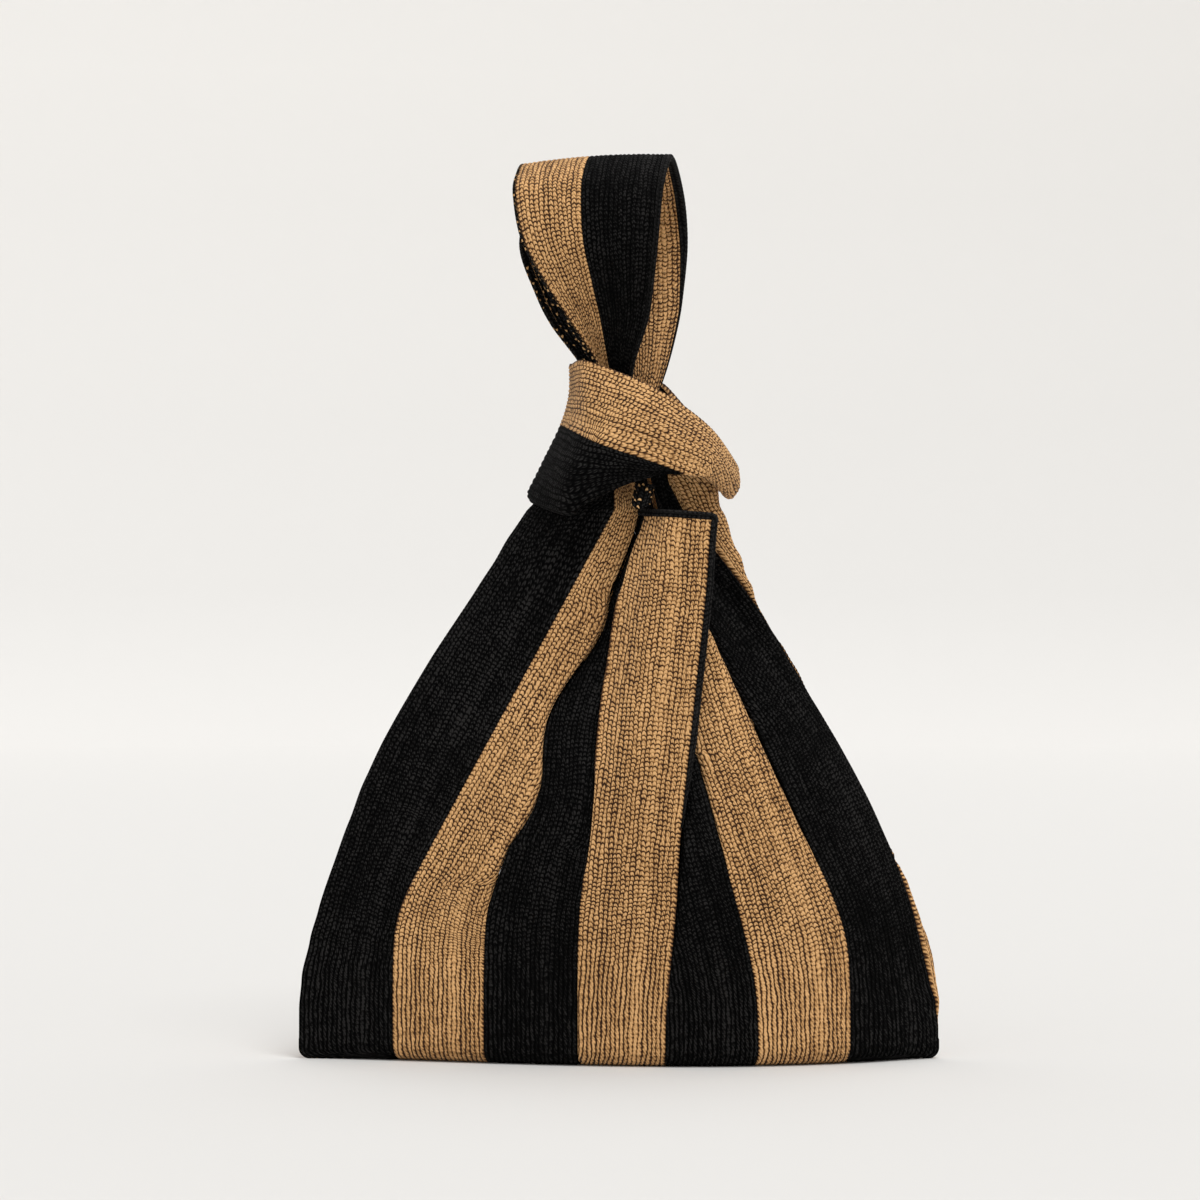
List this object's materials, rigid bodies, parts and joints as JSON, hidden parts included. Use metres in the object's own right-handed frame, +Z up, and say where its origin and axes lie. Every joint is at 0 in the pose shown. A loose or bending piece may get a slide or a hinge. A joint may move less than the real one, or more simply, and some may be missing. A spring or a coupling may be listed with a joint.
{
  "type": "knitted knot handbag",
  "caption": "Soft striped knit bag closed by its own handles: one forms a wrist loop, the other is wound round the neck below it as the closing knot.",
  "frame": {"origin": "on the floor, at the middle of the seam band under the base", "axes": "+Z up, +X to the right as seen from the front, the front with the pleat faces -Y"},
  "size_m": [0.2596, 0.0758, 0.3693],
  "materials": {
    "camel_yarn": "matt knitted yarn",
    "black_yarn": "matt knitted yarn"
  },
  "bodies": {
    "bag": {"front_stripe_1": "black_yarn", "front_stripe_2": "camel_yarn", "front_stripe_3": "black_yarn", "front_stripe_4": "camel_yarn", "front_stripe_5": "black_yarn", "front_stripe_6": "camel_yarn", "front_stripe_7": "black_yarn", "back_stripe_8": "camel_yarn", "back_stripe_9": "black_yarn", "back_stripe_10": "camel_yarn", "back_stripe_11": "black_yarn", "back_stripe_12": "camel_yarn", "back_stripe_13": "black_yarn", "back_stripe_14": "camel_yarn", "base_turn_in_front": "black_yarn", "base_turn_in_back": "black_yarn", "base_seam_band": "black_yarn", "pleat_fold": "black_yarn", "pleat_hem": "black_yarn", "back_hem": "black_yarn", "neck_core": "black_yarn"},
    "loop_neck": {"loop_root_front_camel": "camel_yarn", "loop_root_front_black": "black_yarn", "loop_root_back_camel": "camel_yarn", "loop_root_back_black": "black_yarn"},
    "wrist_loop": {"loop_camel_face": "camel_yarn", "loop_black_face": "black_yarn", "loop_black_lining": "black_yarn", "loop_camel_lining": "camel_yarn", "loop_left_chain": "camel_yarn", "loop_right_roll": "black_yarn"},
    "short_handle": {"wrap_camel_face": "camel_yarn", "wrap_black_lining": "black_yarn", "wrap_black_face": "black_yarn", "wrap_camel_lining": "camel_yarn"}
  },
  "joints": [
    {"name": "loop_sway", "type": "hinge", "parent": "bag", "child": "loop_neck", "pos_m": [0.004, 0, 0.262], "axis": [0, 1, 0], "range_deg": [-20, 20], "deforming": ["loop_root_front_camel", "loop_root_front_black", "loop_root_back_camel", "loop_root_back_black"]},
    {"name": "loop_tilt", "type": "hinge", "parent": "loop_neck", "child": "wrist_loop", "pos_m": [0.004, 0, 0.262], "axis": [1, 0, 0], "range_deg": [-25, 25], "deforming": ["loop_root_front_camel", "loop_root_front_black", "loop_root_back_camel", "loop_root_back_black"]},
    {"name": "knot_slide", "type": "slide", "parent": "bag", "child": "short_handle", "axis": [0, 0, 1], "range_m": [0, 0.008]}
  ]
}
